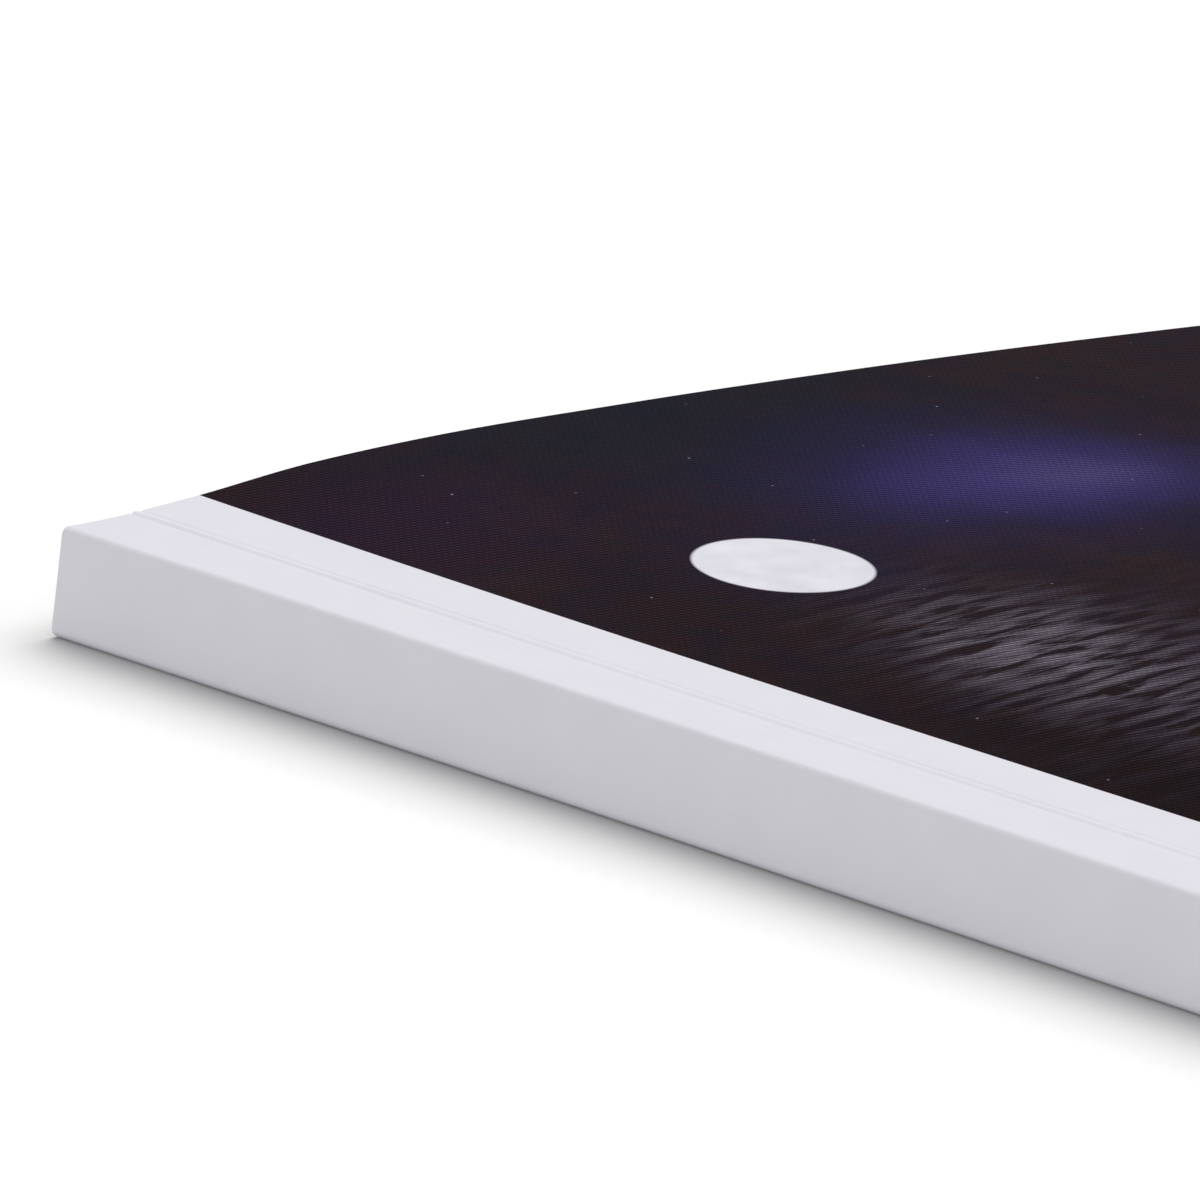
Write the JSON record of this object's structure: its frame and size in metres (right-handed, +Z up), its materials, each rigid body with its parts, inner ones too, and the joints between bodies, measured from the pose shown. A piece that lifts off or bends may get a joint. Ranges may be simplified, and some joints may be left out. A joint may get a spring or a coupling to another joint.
{
  "type": "paperback book",
  "caption": "Thin large-format paperback: a block of leaves glued into one folded card cover with a flat spine, whose creased front and back covers open.",
  "frame": {"origin": "centre of the book's footprint, on the surface that the closed book lies on", "axes": "+X from the spine to the fore-edge, +Y from the tail to the head, +Z up through the front cover"},
  "size_m": [0.21, 0.297, 0.0113],
  "materials": {
    "leaves": "white coated text paper, guillotine-cut edges",
    "glue": "hot-melt adhesive, cream",
    "cover_card": "white cover board, matt laminated",
    "front_print": "near-black full-bleed print on white cover board, matt laminated"
  },
  "bodies": {
    "book": {"page_block": "leaves", "spine_glue": "glue", "cover_spine": "cover_card"},
    "front_cover": {"front_cover": "front_print"},
    "back_cover": {"back_cover": "cover_card"}
  },
  "joints": [
    {"name": "front_cover_hinge", "type": "hinge", "parent": "book", "child": "front_cover", "pos_m": [-0.0975, 0, 0.00826], "axis": [0, -1, 0], "range_deg": [0, 170]},
    {"name": "back_cover_hinge", "type": "hinge", "parent": "book", "child": "back_cover", "pos_m": [-0.0975, 0, 0], "axis": [0, 1, 0], "range_deg": [0, 170]}
  ]
}
